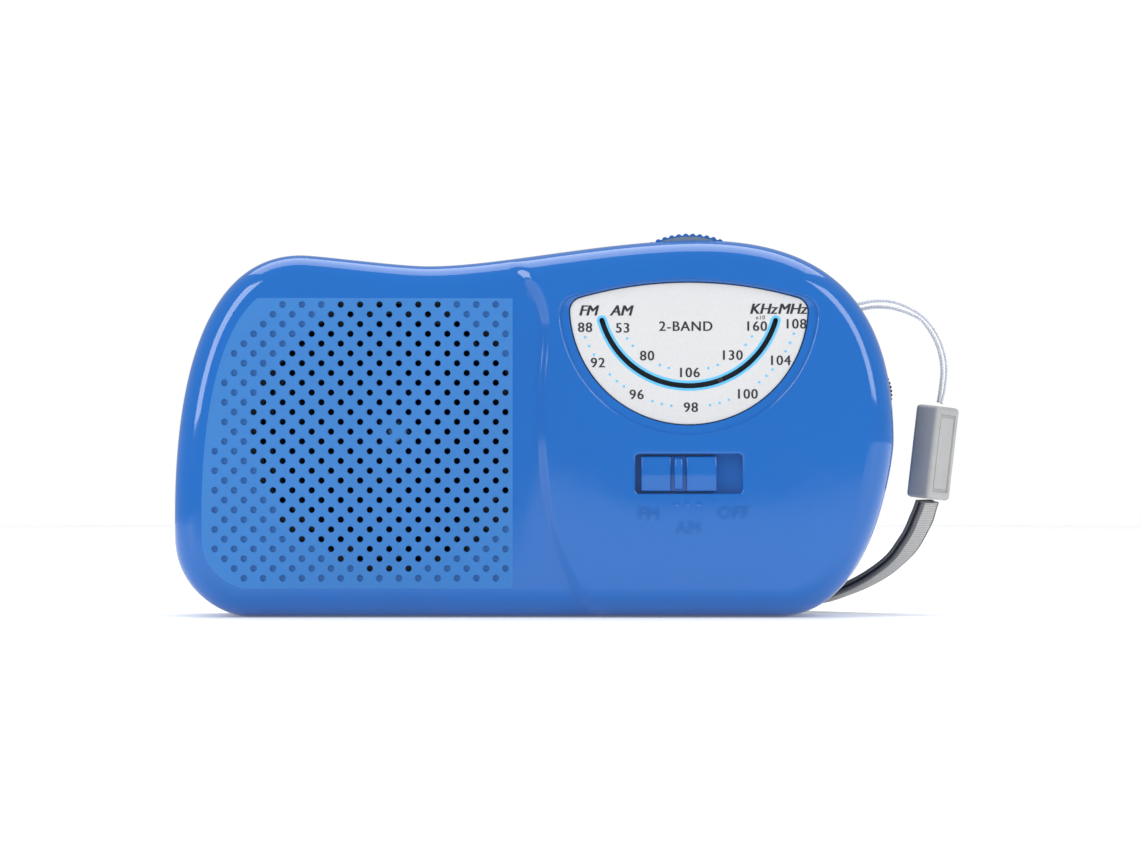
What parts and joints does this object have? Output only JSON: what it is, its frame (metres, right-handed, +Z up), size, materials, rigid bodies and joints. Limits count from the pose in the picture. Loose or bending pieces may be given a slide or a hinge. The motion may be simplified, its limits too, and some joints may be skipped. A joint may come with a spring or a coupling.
{
  "type": "transistor pocket radio",
  "caption": "Pocket AM/FM radio with moulded case, speaker grille, curved dial, band switch, thumbwheels, folding antenna and wrist strap.",
  "frame": {"origin": "centre of the case's footprint on the surface that it stands on", "axes": "+X to the right of the front face, along the case's length; +Y from front to back; +Z up"},
  "size_m": [0.1376, 0.0482, 0.0665],
  "materials": {
    "blue_plastic": "glossy moulded",
    "black_plastic": "satin",
    "white_card": "matt printed",
    "slate_plastic": "matt",
    "pink_print": "matt",
    "cream_plastic": "satin",
    "steel": "satin",
    "black_steel": "satin black",
    "chrome_tube": "polished",
    "brass": "satin",
    "copper_wire": "enamelled",
    "green_board": "satin solder mask",
    "chip_black": "matt",
    "orange_ceramic": "dipped",
    "ferrite": "sintered matt",
    "cone_film": "moulded film",
    "foil": "bright",
    "cell_jacket": "printed film",
    "red_wire": "satin",
    "grey_wire": "satin",
    "white_cord": "braided",
    "grey_clasp": "satin moulded"
  },
  "bodies": {
    "case": {"front_shell": "blue_plastic", "rear_shell": "blue_plastic", "case_screw_1": "steel", "case_screw_2": "steel", "case_screw_3": "steel", "case_screw_4": "steel", "dial_plate": "white_card", "tuning_capacitor": "cream_plastic", "volume_control": "black_plastic", "band_switch": "steel", "circuit_board": "green_board", "board_screw_1": "steel", "board_screw_2": "steel", "if_can_1": "steel", "if_can_2": "steel", "radio_chip": "chip_black", "electrolytic_1": "cell_jacket", "electrolytic_2": "cell_jacket", "ceramic_filter": "orange_ceramic", "fm_coil": "copper_wire", "speaker_frame": "black_steel", "speaker_cone": "cone_film", "speaker_dust_cap": "foil", "speaker_magnet": "ferrite", "speaker_pole": "steel", "speaker_terminal": "orange_ceramic", "ferrite_rod": "ferrite", "aerial_coil": "copper_wire", "rod_clip_1": "white_card", "rod_clip_2": "white_card", "battery_lower": "cell_jacket", "battery_upper": "cell_jacket", "contact_left": "steel", "contact_right_plus": "steel", "contact_right_minus": "steel", "headphone_jack": "black_plastic", "speaker_wire": "red_wire", "battery_wire_red": "red_wire", "battery_wire_black": "black_plastic", "jack_wire": "grey_wire", "strap_cord": "white_cord", "strap_connector": "grey_clasp", "strap_webbing": "white_cord"},
    "tuning": {"tuning_wheel": "blue_plastic", "pointer_disc": "slate_plastic", "pointer_line": "pink_print", "tuning_shaft": "brass", "tuning_screw": "steel"},
    "volume": {"volume_rotor": "cream_plastic", "volume_wheel": "black_plastic", "volume_screw": "steel"},
    "band": {"band_knob": "blue_plastic", "band_switch_lever": "black_plastic"},
    "door": {"battery_door": "blue_plastic"},
    "antenna_base": {"antenna_knuckle": "steel", "antenna_pin": "steel"},
    "antenna_outer": {"antenna_tube_1": "chrome_tube"},
    "antenna_second": {"antenna_tube_2": "chrome_tube"},
    "antenna_third": {"antenna_tube_3": "chrome_tube"},
    "antenna_inner": {"antenna_tip": "chrome_tube"}
  },
  "joints": [
    {"name": "tuning_turn", "type": "hinge", "parent": "case", "child": "tuning", "pos_m": [0.0267, -0.0084, 0.0509], "axis": [0, -1, 0], "range_deg": [-118.6, 61.4]},
    {"name": "volume_turn", "type": "hinge", "parent": "case", "child": "volume", "pos_m": [0.0556, 0.0031, 0.0385], "axis": [0, -1, 0], "range_deg": [-150, 150]},
    {"name": "band_slide", "type": "slide", "parent": "case", "child": "band", "axis": [1, 0, 0], "range_m": [0, 0.004]},
    {"name": "door_swing", "type": "hinge", "parent": "case", "child": "door", "pos_m": [-0.01235, 0.015, 0.0226], "axis": [0, 0, 1], "range_deg": [0, 75]},
    {"name": "antenna_swing", "type": "hinge", "parent": "case", "child": "antenna_base", "pos_m": [0.036, 0.0122, 0.054], "axis": [0, 1, 0], "range_deg": [0, 105]},
    {"name": "antenna_tilt", "type": "hinge", "parent": "antenna_base", "child": "antenna_outer", "pos_m": [0.036, 0.0122, 0.054], "axis": [0, 0, -1], "range_deg": [0, 90]},
    {"name": "antenna_pull_1", "type": "slide", "parent": "antenna_outer", "child": "antenna_second", "axis": [-1, 0, 0], "range_m": [0, 0.062]},
    {"name": "antenna_pull_2", "type": "slide", "parent": "antenna_second", "child": "antenna_third", "axis": [-1, 0, 0], "range_m": [0, 0.062]},
    {"name": "antenna_pull_3", "type": "slide", "parent": "antenna_third", "child": "antenna_inner", "axis": [-1, 0, 0], "range_m": [0, 0.062]}
  ]
}
